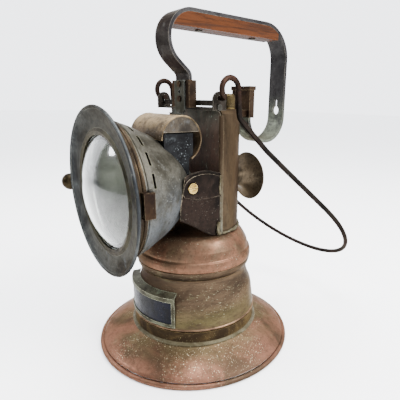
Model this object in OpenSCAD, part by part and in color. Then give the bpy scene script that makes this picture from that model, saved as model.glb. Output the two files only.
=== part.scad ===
// Acetylene hand lamp: carbide pot in a flared foot, gas bell with a D-shaped water tank,
// round reflector head, strap handle and hanging bail.
// Origin at the middle of the foot's flat ring, +Z up, the lamp shines towards -Y.

/* [Foot and pot] */
// Radius of the wired edge of the foot
foot_r = 80; // [79:0.5:82]
// Outside radius of the carbide pot
pot_r = 50.4; // [50.2:0.1:50.6]
// Height of the pot's shoulder
pot_top = 27.4; // [27:0.1:27.5]
// Height of the pot's neck, under the gasket
neck_top = 51; // [50.6:0.1:51]

/* [Bell and tank] */
// Height of the dome's flat top
dome_top = 97; // [97:0.1:97.2]
// Radius of the tank's rounded back
tank_r = 33; // [32.9:0.1:33.2]
// Height of the tank's top
tank_top = 187; // [186.9:0.1:187]
// Rounding of the tank's top edge
tank_round = 4; // [3:0.5:5]

/* [Head] */
// Height of the head's axis
head_z = 132; // [131.8:0.1:132.2]
// Radius of the hood's rim
hood_r = 56; // [55.8:0.1:56.2]
// Radius of the lens inside its ring
lens_r = 38; // [37:0.5:38]
// How far the lens bulges
lens_bulge = 11; // [9:0.5:13]

/* [Handle] */
// Width of the handle strap
strap_w = 17.4; // [17:0.1:17.4]
// Thickness of the handle strap
strap_t = 2.5; // [2.3:0.1:2.5]
// Height of the strap's middle over the grip
strap_z = 250.2; // [250.2:0.1:251]
// Radius of the bail wire
wire_r = 1.9; // [1.8:0.05:1.9]

/* [Hidden] */
$fn = 96;
clear = 0.05;
sheet = 1;
tank_y = 3;
tank_z = dome_top + 0.2;
wall = 0.9;
gas_y = -24;
drip_y = 8;
knob_z = 130.5;
filler = [17, 20.5];
hinge_x = 50.3;
hinge_y = -64.2;
hinge_pin_r = 1.2;
latch_x = -53;
latch_y = -68.5;
latch_z = 127.6;
latch_t = 3.4;
ball = [-65.5, -73.4, 129.2];
ball_r = 6.5;
bail_y = -2.7;
bail_z = 194.4;
bail_lean = 45;
hook_x = 42;
strap_front = -7.2;
strap_rear = 49.45;
strap_back = 88.75;
curl_r = (strap_back - strap_rear) / 2;
curl_y = (strap_back + strap_rear) / 2;
curl_z = 180;
bend_r = 24.75;
nose_y = -5;
nose_r = 18;
neck_r = 5;
neck_z = 208.2;
neck_turn = 50;
grip_w = 17;
grip_low = 239.8;
grip_rivet_y = [6, 57];
rivet_r = 1.5;
cowl_y = -24;
cowl_z = 167.2;
cowl_r = 15.8;
cowl_half = 22.7;
wing_x = 32.2;
crank_r = 5;
crank_rest = -30;
crank_pin_r = 1.2;
pin_play = 0.15;

// Unit normal of an outline at point i, on the left of its direction of travel.
function side(p, i) =
    let (d = p[min(i + 1, len(p) - 1)] - p[max(i - 1, 0)])
    [-d[1], d[0]] / norm(d);

// Closed outline of a metal sheet of thickness t that follows the open outline p.
function sheet_of(p, t) =
    concat(p, [for (i = [len(p) - 1 : -1 : 0]) p[i] + t * side(p, i)]);

// Spins a sheet about the vertical axis; its thickness lies left of the outline.
module spun(p, t) {
    rotate_extrude() polygon(sheet_of(p, t));
}

// Spun ring of round wire.
module wire_ring(r, z, wire) {
    rotate_extrude() translate([r, z]) circle(wire);
}

// Head frame: local +Z runs forwards from the middle of the lamp, local +Y is up.
module on_head() {
    translate([0, 0, head_z]) rotate([90, 0, 0]) children();
}

// Side frame: local X is the lamp's Y, local Y is its Z, and local Z runs along its X.
module sideways(x = 0) {
    translate([x, 0, 0]) rotate([90, 0, 90]) children();
}

module box(low, high) {
    translate(low) cube(high - low);
}

module both_sides() {
    children();
    mirror([1, 0, 0]) children();
}

// Round rod between two points.
module rod(a, b, r) {
    d = b - a;
    translate(a)
        rotate([0, acos(d[2] / norm(d)), atan2(d[1], d[0])])
            cylinder(r = r, h = norm(d));
}

// ---- foot and pot ----

module wire_edge() {
    wire_ring(foot_r - 2, 1.8, 2);
}

module foot_skirt() {
    outline = [
        [pot_r + 0.2, 17.2], [52, 16.2], [55, 14.8], [60, 12.9], [66, 10.6],
        [71, 8.4], [75, 6], [foot_r - 3, 4.2]
    ];
    color("peru") difference() {
        spun([for (i = [len(outline) - 1 : -1 : 0]) outline[i]], sheet);
        wire_ring(foot_r - 2, 1.8, 2 + clear);
        cylinder(r = pot_r + clear, h = 30);
    }
}

module foot_wire() {
    color("sienna") difference() {
        wire_edge();
        translate([0, 0, -5]) cylinder(r = foot_r + 5, h = 5);
    }
}

module foot_solder() {
    color("khaki") rotate_extrude()
        polygon([[pot_r, 17.4], [pot_r, 19.2], [pot_r + 1, 18.5], [pot_r + 2, 17.6], [pot_r + 2, 17.35]]);
}

module pot() {
    inner = pot_r - 1.2;
    neck = 44.4;
    color("darkolivegreen") rotate_extrude() polygon([
        [0, 5], [pot_r, 5], [pot_r, pot_top], [neck, pot_top], [neck, neck_top],
        [neck - 1.2, neck_top], [neck - 1.2, pot_top - 1.2], [inner, pot_top - 1.2], [inner, 6.2], [0, 6.2]
    ]);
}

module carbide_basket() {
    r = 42.6;
    top = 40;
    color("dimgray") difference() {
        translate([0, 0, 6.5]) cylinder(r = r, h = top - 6.5);
        translate([0, 0, 7.3]) cylinder(r = r - 0.8, h = top);
        for (ring = [0 : 2], a = [0 : 60 : 300])
            rotate(a + 30 * ring) translate([12 + 11 * ring, 0, 5]) cylinder(r = 1.5, h = 5);
    }
}

// ---- gas bell ----

module bell() {
    color("chocolate") union() {
        spun([
            [50, 29], [49.9, 31], [49.6, 35], [49.1, 39], [48.6, 43], [48, 47], [47, 51],
            [45.6, 54], [44.4, 57], [43.5, 60.5], [43.2, 65], [43.3, 66.2]
        ], sheet);
        wire_ring(49.8, 28.9, 1.05);
    }
}

module dome() {
    color("indianred") difference() {
        union() {
            spun([
                [43.6, 66.4], [45.1, 68.6], [46.2, 72], [46.5, 76], [45.6, 80.5], [43.8, 84.4],
                [42.6, 87.5], [41.1, 90.3], [39.4, 93], [37.4, 95], [34.6, 96.4], [31, dome_top], [20, dome_top]
            ], sheet);
            translate([0, 0, dome_top - sheet]) cylinder(r = 22, h = sheet);
        }
        translate([0, drip_y, dome_top - 3]) cylinder(r = 3, h = 6);
        translate([0, gas_y, dome_top - 3]) cylinder(r = 5, h = 6);
    }
}

module gasket() {
    color("dimgray") rotate_extrude() translate([41, neck_top + 0.3]) square([3.2, 2]);
}

// Curved band on the front of the bell, between two radii, two heights and two angles.
module front_band(r0, r1, z0, z1, half) {
    rotate(-90 - half) rotate_extrude(angle = 2 * half)
        translate([r0, z0]) square([r1 - r0, z1 - z0]);
}

module nameplate_frame() {
    color("goldenrod") difference() {
        union() {
            front_band(50.05, 51.4, 31, 55, 39);
            for (a = [-25, 0, 25])
                rotate(a) box([-2, -50.3, 51.8], [2, -46.6, 53.8]);
        }
        front_band(49, 52, 33.4, 51.6, 36.2);
    }
}

module nameplate_panel() {
    color("midnightblue") front_band(50.1, 50.7, 33.4 + clear, 51.6 - clear, 36.15);
}

// ---- water tank ----

// Solid D-shaped block with a rounded top edge.
module tank_block(r, bottom, top, round) {
    outline = concat(
        [[0, bottom], [r, bottom]],
        [for (a = [0 : 15 : 90]) [r - round + round * cos(a), top - round + round * sin(a)]],
        [[0, top]]
    );
    translate([0, tank_y, 0]) rotate_extrude(angle = 180) polygon(outline);
    translate([0, tank_y, 0]) rotate([90, 0, 0]) linear_extrude(wall)
        polygon(concat(outline, [for (i = [len(outline) - 2 : -1 : 1]) [-outline[i][0], outline[i][1]]]));
}

module tank() {
    color("olivedrab") difference() {
        tank_block(tank_r, tank_z, tank_top, tank_round);
        intersection() {
            tank_block(tank_r - wall, tank_z + wall, tank_top - wall, tank_round - wall);
            box([-50, tank_y, 90], [50, 50, 200]);
        }
        translate([0, drip_y, tank_z - 1]) cylinder(r = 3, h = 3);
        translate([0, tank_y, knob_z]) rotate([-90, 0, 0]) cylinder(r = 6, h = 40);
        translate([filler[0], filler[1], tank_top - 3]) cylinder(r = 3.2, h = 6);
    }
}

module front_plate() {
    r = 4;
    color("saddlebrown") difference() {
        box([-wing_x, 1.25, dome_top + 0.2], [wing_x, 2.05, 186]);
        both_sides() difference() {
            box([wing_x - r, 0, 186 - r], [wing_x + 1, 3, 187]);
            translate([wing_x - r, 4, 186 - r]) rotate([90, 0, 0]) cylinder(r = r, h = 5);
        }
    }
}

// ---- cradle of the head ----

function housing_outline() = [
    [12, 7.5], [14.9, 10], [18.4, 14], [21.8, 18], [26.4, 23], [30.5, 28], [33.9, 33], [36.8, 38],
    [39.2, 43], [41.4, 48], [43.7, 53], [45.6, 58], [46.1, 61], [46.2, 64.2]
];

// Solid of the housing, a little larger all round when grow is set.
module housing_block(grow = 0) {
    on_head() rotate_extrude() polygon(concat(
        [[0, 7.5 - grow]],
        [for (p = housing_outline()) [p[0] + grow, p[1] - grow]],
        [[46.2 + grow, 64.2], [0, 64.2]]
    ));
}

module wing() {
    screw_y = -23.5;
    screw_z = 135.5;
    difference() {
        sideways(wing_x) linear_extrude(0.8) polygon([
            [2.05, 97.4], [2.05, 143], [-0.5, 143.5], [-8, 145.6], [-15, 146.2], [-22, 145.4], [-29, 143],
            [-32.4, 128], [-33.5, 114], [-29, 111.9], [-22, 108], [-15, 103.4], [-7, 98.6], [-2, 97.4]
        ]);
        housing_block(clear);
        sideways(wing_x - 1) translate([screw_y, screw_z]) cylinder(r = 1.6, h = 3);
        sideways(wing_x - 1) translate([-13.5, 136.5]) cylinder(r = 1, h = 3);
    }
}

module wing_right() {
    color("darkgray") wing();
}

module wing_left() {
    color("darkgray") mirror([1, 0, 0]) wing();
}

module wing_screws() {
    color("gold") both_sides() sideways(wing_x + 0.8) translate([-23.5, 135.5]) {
        difference() {
            cylinder(r = 3.6, h = 1.8);
            translate([-4, -0.4, 1]) cube([8, 0.8, 2]);
        }
        translate([0, 0, -3.4]) cylinder(r = 1.6, h = 3.4);
    }
}

module head_bosses() {
    color("slategray") both_sides() difference() {
        sideways(24) translate([-23.5, 135.5]) cylinder(r = 5, h = wing_x - 24 - clear);
        housing_block(clear);
        sideways(wing_x - 2.6) translate([-23.5, 135.5]) cylinder(r = 1.6, h = 4);
    }
}

// ---- lamp head ----

module housing() {
    p = housing_outline();
    color("tan") difference() {
        union() {
            on_head() spun(p, sheet);
            on_head() translate([0, 0, 7.5]) cylinder(r = 12, h = sheet);
            on_head() wire_ring(46.1, 62, 0.9);
        }
        on_head() for (a = [18 : 18 : 162])
            rotate(a) translate([42, -4.6, 56.2]) cube([8, 9.2, 2]);
        translate([0, gas_y, 98]) cylinder(r = 5, h = 25);
        box([-18.5, -35, 150], [18.5, -19, 190]);
    }
}

module reflector() {
    depth = 28;
    focus = 42 * 42 / 32;
    color("whitesmoke") on_head() spun(concat(
        [for (r = [9 : 3 : 42]) [r, depth + r * r / focus]],
        [[44.85, 60.2]]
    ), 0.5);
}

module gas_pipe() {
    module run(big, small, low) {
        translate([0, gas_y, low]) cylinder(r = big, h = 108 - low);
        translate([0, gas_y, 107]) cylinder(r = small, h = head_z - 107);
        translate([0, gas_y, head_z]) sphere(small);
        translate([0, gas_y, head_z]) rotate([90, 0, 0]) cylinder(r = small, h = 20);
    }
    color("darkgoldenrod") difference() {
        run(5, 3, 89);
        translate([0, gas_y, 80]) cylinder(r = 4, h = 27);
        translate([0, gas_y, 100]) cylinder(r = 2, h = head_z - 100);
        translate([0, gas_y, head_z]) rotate([90, 0, 0]) cylinder(r = 2, h = 18.5);
        translate([0, -41.5, head_z]) cylinder(r = 1.6, h = 8);
    }
}

module burner_tip() {
    color("ivory") difference() {
        union() {
            translate([0, -41.5, head_z + 3]) cylinder(r = 2.6, h = 5);
            translate([0, -41.5, head_z + 0.6]) cylinder(r = 1.55, h = 4);
            for (s = [-1, 1])
                rod([0, -41.5, head_z + 6.5], [s * 5.5, -41.5, head_z + 13], 1.9);
        }
        for (s = [-1, 1])
            rod([s * 3.5, -41.5, head_z + 10.6], [s * 6, -41.5, head_z + 13.6], 0.4);
        translate([0, -41.5, head_z]) cylinder(r = 0.8, h = 6);
    }
}

module flue() {
    half = 20.8;
    front = -37;
    rear = -14;
    sill = 160;
    color("darkslategray") intersection() {
        difference() {
            box([-half, front, 140], [half, rear, 171]);
            box([-half + 0.8, front + 0.8, 130], [half - 0.8, rear - 0.8, 180]);
            housing_block(clear);
        }
        union() {
            sideways(-half - 1) translate([cowl_y, cowl_z]) cylinder(r = cowl_r - 0.8 - clear, h = 2 * half + 2);
            box([-half - 1, front - 1, 130], [half + 1, -17.5, sill]);
        }
    }
}

module cowl() {
    color("tan") difference() {
        sideways(-cowl_half) translate([cowl_y, cowl_z]) rotate(-60)
            rotate_extrude(angle = 240) translate([cowl_r - 0.8, 0]) square([0.8, 2 * cowl_half]);
        housing_block(clear);
        on_head() wire_ring(46.1, 62, 0.95);
    }
}

module cowl_baffles() {
    color("dimgray") both_sides() intersection() {
        sideways(cowl_half - 1.2) translate([cowl_y, cowl_z]) cylinder(r = cowl_r - 0.8 - clear, h = 0.8);
        box([0, -60, 172], [40, 0, 190]);
    }
}

module hinge_knuckle() {
    color("saddlebrown") difference() {
        union() {
            translate([hinge_x, hinge_y, 127.6]) cylinder(r = 2.1, h = 12.8);
            box([44, -64, 127.6], [hinge_x, -62.8, 140.4]);
        }
        housing_block(clear);
        on_head() wire_ring(46.1, 62, 0.95);
        translate([hinge_x, hinge_y, 120]) cylinder(r = hinge_pin_r + 0.06, h = 30);
    }
}

// ---- bail bar and handle sockets ----

module bail_bar() {
    ear_x = 35.4;
    color("dimgray") difference() {
        union() {
            box([-33.2, -4, 186.4], [33.2, -2.8, bail_z]);
            box([-ear_x, -4, 186.4], [ear_x, -2.8, 192.2]);
            box([-28, -2.8, tank_top + clear], [28, 7, tank_top + 1.2]);
            both_sides() sideways(ear_x) {
                translate([-3, 193]) cylinder(r = 5.5, h = 1.2);
                translate([-8.5, 186.5]) cube([11, 6.5, 1.2]);
            }
        }
        sideways(-50) translate([bail_y, bail_z]) cylinder(r = wire_r + 0.08, h = 100);
        sideways(-50) translate([-3.4, 188.4]) cylinder(r = 0.9, h = 100);
    }
}

module bar_rivets() {
    color("gray") both_sides() sideways(35.5) translate([-3.4, 188.4]) {
        cylinder(r = 0.9, h = 1.1);
        translate([0, 0, 1.1]) cylinder(r = 1.9, h = 0.9);
    }
}

module socket_front() {
    color("darkgoldenrod") difference() {
        box([-11, -10.2, 187.8], [11, -4.05, 206]);
        box([-8.75, -8.5, 189.9], [8.75, -5.9, 210]);
        for (z = [193.5, 203.5])
            translate([0, -8, z]) rotate([90, 0, 0]) cylinder(r = 1, h = 5);
    }
}

module socket_tongue() {
    color("silver") difference() {
        union() {
            box([-6.35, -11.2, 186.6], [6.35, -10.25, 206]);
            translate([0, -10.25, 189.6]) rotate([90, 0, 0]) intersection() {
                cylinder(r = 7, h = 0.95);
                translate([-6.35, -6.2, 0]) cube([12.7, 7, 0.95]);
            }
        }
        for (z = [193.5, 203.5])
            translate([0, -8, z]) rotate([90, 0, 0]) cylinder(r = 1, h = 5);
        translate([0, -8, 198.3]) rotate([90, 0, 0]) cylinder(r = 1.2, h = 5);
    }
}

module tongue_rivets() {
    color("peru") for (z = [193.5, 203.5]) {
        translate([0, -8.6, z]) rotate([90, 0, 0]) cylinder(r = 1, h = 3);
        translate([0, -11.2, z]) rotate([90, 0, 0]) cylinder(r = 2.1, h = 0.9);
    }
}

// Points along a round bend, in (y, z), from one angle to another.
function arc(centre, r, from, to, n) =
    [for (i = [0 : n]) centre + r * [cos(from + (to - from) * i / n), sin(from + (to - from) * i / n)]];

// Middle line of the strap, from the front socket over the grip and round the curl to the rear socket.
function strap_line() =
    let (
        nose = [nose_y, strap_z - nose_r],
        neck = [strap_front - neck_r, neck_z],
        bend = [strap_back - bend_r, strap_z - bend_r]
    )
    concat(
        [[strap_front, 190]],
        arc(neck, neck_r, 0, neck_turn, 6),
        arc(nose, nose_r, 180 + neck_turn, 90, 16),
        arc(bend, bend_r, 90, 0, 14),
        arc([curl_y, curl_z], curl_r, 360, 180, 24),
        [[strap_rear, 200]]
    );

module strap() {
    p = strap_line();
    half = strap_t / 2;
    color("darkslategray") difference() {
        sideways(-strap_w / 2) linear_extrude(strap_w) polygon(concat(
            [for (i = [0 : len(p) - 1]) p[i] - half * side(p, i)],
            [for (i = [len(p) - 1 : -1 : 0]) p[i] + half * side(p, i)]
        ));
        translate([0, strap_back + 4, 185.5]) rotate([90, 0, 0]) cylinder(r = 3.75, h = 8);
        box([-1.6, strap_back - 4, 186], [1.6, strap_back + 4, 194]);
        for (y = grip_rivet_y)
            translate([0, y, strap_z - 5]) cylinder(r = rivet_r, h = 10);
    }
}

module grip() {
    top = strap_z - strap_t / 2 - clear;
    bend_y = strap_back - bend_r;
    color("sandybrown") difference() {
        intersection() {
            union() {
                sideways(-grip_w / 2) translate([nose_y, strap_z - nose_r])
                    cylinder(r = nose_r - strap_t / 2 - clear, h = grip_w);
                box([-grip_w / 2, nose_y, 230], [grip_w / 2, bend_y, top]);
                sideways(-grip_w / 2) translate([bend_y, strap_z - bend_r])
                    cylinder(r = bend_r - strap_t / 2 - clear, h = grip_w);
            }
            box([-grip_w / 2, -21, grip_low], [grip_w / 2, 78, top]);
        }
        for (y = grip_rivet_y)
            translate([0, y, 230]) cylinder(r = rivet_r, h = 30);
    }
}

module grip_rivets() {
    top = strap_z + strap_t / 2;
    color("darkgray") for (y = grip_rivet_y) translate([0, y, 0]) {
        translate([0, 0, grip_low - 0.4]) cylinder(r = rivet_r, h = top - grip_low + 0.8);
        translate([0, 0, grip_low - 0.9]) cylinder(r = 2.6, h = 0.9);
        translate([0, 0, top]) cylinder(r = 2.8, h = 0.8);
    }
}

module socket_rear() {
    back = strap_rear + strap_t / 2;
    front = strap_rear - strap_t / 2;
    color("darkgoldenrod") difference() {
        union() {
            box([-10.9, front - 1.3, curl_z], [10.9, back + 1.3, 202]);
            box([-11.6, front - 2, 201], [11.6, back + 2, 204]);
        }
        box([-8.75, front - clear, curl_z - 1], [8.75, back + clear, 210]);
    }
}

module socket_bracket() {
    end = strap_rear - strap_t / 2 - 1.3 - clear;
    color("saddlebrown") difference() {
        box([-8, 30, 181], [8, end, 186]);
        box([-6.8, 20, 180], [6.8, end - 1.2, 184.8]);
        translate([0, tank_y, 170]) cylinder(r = tank_r + clear, h = 30);
    }
}

// ---- water valve ----

module gland() {
    color("goldenrod") translate([0, 0, knob_z]) rotate([-90, 0, 0]) difference() {
        union() {
            translate([0, 0, 33]) cylinder(r = 6, h = 4);
            translate([0, 0, tank_y + tank_r + clear]) cylinder(r = 9, h = 1.2);
        }
        cylinder(r = 3.05, h = 50);
    }
}

module drip_tube() {
    color("darkkhaki") translate([0, drip_y, 46]) difference() {
        cylinder(r = 3, h = 55);
        translate([0, 0, -1]) cylinder(r = 1.7, h = 60);
    }
}

module filler_neck() {
    color("goldenrod") translate([filler[0], filler[1], 0]) difference() {
        union() {
            translate([0, 0, tank_top - 1.5]) cylinder(r = 3.2, h = 9.5);
            translate([0, 0, tank_top + clear]) cylinder(r = 4.6, h = 0.7);
        }
        translate([0, 0, tank_top - 3]) cylinder(r = 2.2, h = 20);
    }
}

// ---- door with the lens ----

module door_ring() {
    color("darkgoldenrod") on_head() {
        rotate_extrude() translate([46.2, 64.7]) square([1.9, 6.5]);
        wire_ring(48, 66.6, 0.9);
        wire_ring(48.9, 70.1, 1.3);
    }
}

module lens_hood() {
    color("dimgray") on_head() {
        spun([[hood_r - 0.4, 74.2], [52, 73], [48, 72.1], [43.05, 71.6]], -0.9);
        wire_ring(hood_r, 74.7, 1.1);
    }
}

module lens_ring() {
    color("darkseagreen") on_head() rotate_extrude() polygon([
        [42, 67.8], [42.95, 67.8], [42.95, 72.6], [40.8, 73.6], [lens_r + 0.6, 72.9],
        [lens_r + 0.6, 71.8], [42, 71.8]
    ]);
}

module lens() {
    curve = (lens_r * lens_r + lens_bulge * lens_bulge) / (2 * lens_bulge);
    thick = 2;
    flat = 71.6;
    outer = [for (r = [0 : 2 : lens_r]) [r, flat - curve + lens_bulge + sqrt(curve * curve - r * r)]];
    color("lightcyan", 0.4) on_head() rotate_extrude() polygon(concat(
        outer,
        [[lens_r, flat], [41.9, flat], [41.9, flat - thick], [lens_r - 1, flat - thick]],
        [for (i = [len(outer) - 2 : -1 : 0]) [outer[i][0], outer[i][1] - thick]]
    ));
}

module door_leaf() {
    color("saddlebrown") difference() {
        union() {
            box([52.9, -70, 126], [53.9, -62.8, 142]);
            for (z = [126, 140.8])
                box([46, -70, z], [53.9, -62.8, z + 1.2]);
        }
        on_head() translate([0, 0, 50]) cylinder(r = 50.3, h = 30);
        translate([hinge_x, hinge_y, 120]) cylinder(r = hinge_pin_r, h = 30);
    }
}

module hinge_pin() {
    color("silver") translate([hinge_x, hinge_y, 0]) {
        translate([0, 0, 125.4]) cylinder(r = hinge_pin_r, h = 17.2);
        translate([0, 0, 142]) cylinder(r = 1.7, h = 0.9);
    }
}

module latch_ears() {
    color("saddlebrown") difference() {
        for (z = [latch_z - 1.6, latch_z + latch_t + 0.4])
            union() {
                translate([latch_x, latch_y, z]) cylinder(r = 2.8, h = 1.2);
                box([latch_x, latch_y - 2.4, z], [-46, latch_y + 2.4, z + 1.2]);
            }
        on_head() translate([0, 0, 50]) cylinder(r = 50.25, h = 30);
        translate([latch_x, latch_y, 110]) cylinder(r = hinge_pin_r, h = 40);
    }
}

module latch_pin() {
    color("silver") translate([latch_x, latch_y, latch_z - 1.9]) cylinder(r = hinge_pin_r, h = latch_t + 4);
}

// ---- latch ----

module latch_lever() {
    color("dimgray") difference() {
        union() {
            translate([latch_x, latch_y, latch_z]) cylinder(r = 2.4, h = latch_t);
            translate([0, 0, latch_z]) linear_extrude(latch_t) polygon([
                [-55.2, latch_y], [-54.6, -60.3], [-47.6, -60.3], [-47.6, -61.8], [-51, -62.6], [-50.9, -67]
            ]);
            rod([latch_x - 2, latch_y - 1, latch_z + latch_t / 2], ball - [0, 0, 0.2], 1.6);
        }
        translate([latch_x, latch_y, 110]) cylinder(r = hinge_pin_r + 0.06, h = 40);
        translate(ball) sphere(ball_r);
    }
}

module latch_ball() {
    color("darkolivegreen") translate(ball) sphere(ball_r);
}

// ---- valve knob and needle ----

module on_valve() {
    translate([0, 0, knob_z]) rotate([-90, 0, 0]) children();
}

module valve_knob() {
    color("olive") on_valve() difference() {
        union() {
            spun([
                [6.4, 37.9], [6.5, 42], [7.2, 46], [9.2, 50], [12.4, 53.2], [16.2, 55.5], [20.4, 57]
            ], 1.2);
            translate([0, 0, 37.9]) cylinder(r = 6, h = 4);
        }
        translate([0, 0, 30]) cylinder(r = 3, h = 20);
    }
}

module knob_cap() {
    color("goldenrod") on_valve() difference() {
        translate([0, 0, 52]) cylinder(r = 9, h = 1.2);
        translate([0, 0, 50]) cylinder(r = 1.4, h = 5);
    }
}

module knob_screw() {
    color("silver") on_valve() {
        translate([0, 0, 53.2]) cylinder(r = 2.6, h = 1.2);
        translate([0, 0, 44.1]) cylinder(r = 1.4, h = 9.2);
    }
}

module valve_spindle() {
    color("goldenrod") {
        on_valve() translate([0, 0, 10.2]) cylinder(r = 3, h = 33.8);
        on_valve() translate([0, 0, 10.2]) cylinder(r = crank_r + 1.4, h = 2);
        translate([crank_r * cos(crank_rest), 6.6, knob_z + crank_r * sin(crank_rest)])
            rotate([-90, 0, 0]) cylinder(r = crank_pin_r, h = 4);
    }
}

module needle_rod() {
    slot_z = knob_z + crank_r * sin(crank_rest);
    half = crank_pin_r + pin_play;
    color("gold") difference() {
        union() {
            translate([0, drip_y, 99]) cylinder(r = 1.4, h = 26);
            translate([0, drip_y, 95]) cylinder(r1 = 0.4, r2 = 1.4, h = 4);
            box([-2.5, drip_y - 1.8, slot_z - 3.6], [8.4, drip_y + 1.8, slot_z + 3.6]);
        }
        box([2.4, drip_y - 4, slot_z - half], [7, drip_y + 4, slot_z + half]);
    }
}

// ---- filler cap ----

module filler_cap() {
    low = tank_top + 1;
    color("olive") translate([filler[0], filler[1], low]) difference() {
        union() {
            cylinder(r = 4.6, h = 8);
            translate([0, 0, 8]) cylinder(r1 = 4.6, r2 = 3.4, h = 1.6);
        }
        translate([0, 0, -1]) cylinder(r = 3.28, h = 8.4);
        for (a = [0 : 20 : 340])
            rotate(a) translate([4.9, 0, 1.6]) cylinder(r = 0.55, h = 5.2);
    }
}

// ---- bail ----

// Point of the bail's plane, s along its legs from the pivot line.
function leg_point(x, s) = [x, bail_y + s * sin(bail_lean), bail_z - s * cos(bail_lean)];

module bail() {
    arch = [1.5, 200];
    arch_r = norm(arch - [bail_y, bail_z]);
    foot_angle = atan2(arch[1] - bail_z, arch[0] - bail_y) + 180;
    loop_s = 140;
    loop_r = 73;
    spread = 19.3;
    bead_r = wire_r + 0.06;
    arch_end = [hook_x, arch[0] + arch_r, arch[1]];
    knee = leg_point(hook_x, 18);
    kink = leg_point(46.5, 52);
    shoulder = leg_point(loop_r * cos(spread), loop_s - loop_r * sin(spread));
    color("rosybrown") {
        both_sides() {
            rod([33.8, bail_y, bail_z], [hook_x, bail_y, bail_z], wire_r);
            translate([hook_x, bail_y, bail_z]) sphere(bead_r);
            sideways(hook_x) translate(arch) rotate_extrude(angle = foot_angle)
                translate([arch_r, 0]) circle(wire_r);
            rod(arch_end, knee, wire_r);
            translate(arch_end) sphere(bead_r);
            translate(knee) sphere(bead_r);
            rod(knee, kink, wire_r);
            translate(kink) sphere(bead_r);
            rod(kink, shoulder, wire_r);
            translate(shoulder) sphere(bead_r);
        }
        translate(leg_point(0, loop_s)) rotate([-bail_lean, 0, 0]) rotate(-spread)
            rotate_extrude(angle = 180 + 2 * spread) translate([loop_r, 0]) circle(wire_r);
    }
}

foot_skirt();
foot_wire();
foot_solder();
pot();
carbide_basket();
bell();
dome();
gasket();
nameplate_frame();
nameplate_panel();
tank();
front_plate();
wing_right();
wing_left();
wing_screws();
head_bosses();
housing();
reflector();
gas_pipe();
burner_tip();
flue();
cowl();
cowl_baffles();
hinge_knuckle();
bail_bar();
bar_rivets();
socket_front();
socket_tongue();
tongue_rivets();
strap();
grip();
grip_rivets();
socket_rear();
socket_bracket();
gland();
drip_tube();
filler_neck();
door_ring();
lens_hood();
lens_ring();
lens();
door_leaf();
hinge_pin();
latch_ears();
latch_pin();
latch_lever();
latch_ball();
valve_knob();
knob_cap();
knob_screw();
valve_spindle();
needle_rod();
filler_cap();
bail();
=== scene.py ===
import math

import bmesh
import bpy
from mathutils import Matrix, Vector, noise


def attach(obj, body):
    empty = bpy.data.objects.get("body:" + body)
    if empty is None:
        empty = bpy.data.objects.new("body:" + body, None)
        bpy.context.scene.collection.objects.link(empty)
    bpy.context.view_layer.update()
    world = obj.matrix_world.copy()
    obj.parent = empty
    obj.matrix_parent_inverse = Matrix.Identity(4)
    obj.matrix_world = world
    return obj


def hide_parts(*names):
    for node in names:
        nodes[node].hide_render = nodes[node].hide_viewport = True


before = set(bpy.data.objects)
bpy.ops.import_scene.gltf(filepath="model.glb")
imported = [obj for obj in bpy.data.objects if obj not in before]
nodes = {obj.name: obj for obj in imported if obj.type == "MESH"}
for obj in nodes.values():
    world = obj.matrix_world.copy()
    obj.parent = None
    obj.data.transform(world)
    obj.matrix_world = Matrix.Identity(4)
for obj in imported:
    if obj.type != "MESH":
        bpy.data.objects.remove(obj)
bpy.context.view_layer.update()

# The viewpoint: a short lens from the right of the head, a little above the
# tank, looking down at the lamp with a slight roll.
turn, dip, roll = math.radians(50.214), math.radians(18.165), math.radians(1.159)
looking = Vector((-math.sin(turn) * math.cos(dip), math.cos(turn) * math.cos(dip), -math.sin(dip)))
level = looking.cross(Vector((0, 0, 1))).normalized()
upright = level.cross(looking)
rightwards = math.cos(roll) * level + math.sin(roll) * upright
upwards = -math.sin(roll) * level + math.cos(roll) * upright
lens = bpy.data.cameras.new("viewpoint")
lens.sensor_width = 36
lens.lens = 34.27
lens.shift_x = -0.0756
lens.shift_y = 0.0628
lens.clip_start = 0.01
viewpoint = bpy.data.objects.new("viewpoint", lens)
place = Matrix((rightwards, upwards, -looking)).transposed().to_4x4()
place.translation = Vector((0.24588, -0.16609, 0.19317))
viewpoint.matrix_world = place
bpy.context.scene.collection.objects.link(viewpoint)
bpy.context.scene.camera = viewpoint

# The studio: a bright white room, a window light at the right and behind, a
# small fill at the front left and a soft light overhead. A dark flag that the
# camera doesn't see gives the metal something to reflect, and the lamp stands
# on a pale table.
room = bpy.data.worlds.new("white_room")
room.use_nodes = True
room.node_tree.nodes["Background"].inputs["Color"].default_value = (0.93, 0.95, 1.0, 1)
room.node_tree.nodes["Background"].inputs["Strength"].default_value = 4.0
bpy.context.scene.world = room


def soft_light(name, where, power, size, colour):
    lamp = bpy.data.lights.new(name, "AREA")
    lamp.energy = power
    lamp.shape = "DISK"
    lamp.size = size
    lamp.color = colour
    holder = bpy.data.objects.new(name, lamp)
    holder.location = where
    holder.rotation_mode = "QUATERNION"
    holder.rotation_quaternion = (Vector((0, 0, 0.12)) - Vector(where)).to_track_quat("-Z", "Y")
    bpy.context.scene.collection.objects.link(holder)


soft_light("window_right", (0.75, 0.35, 0.85), 30, 0.5, (1.0, 0.98, 0.95))
soft_light("fill_left", (-0.5, -0.75, 0.6), 8, 0.2, (0.95, 0.97, 1.0))
soft_light("top_soft", (-0.1, 0.0, 1.1), 24, 0.6, (1.0, 1.0, 1.0))


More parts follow.
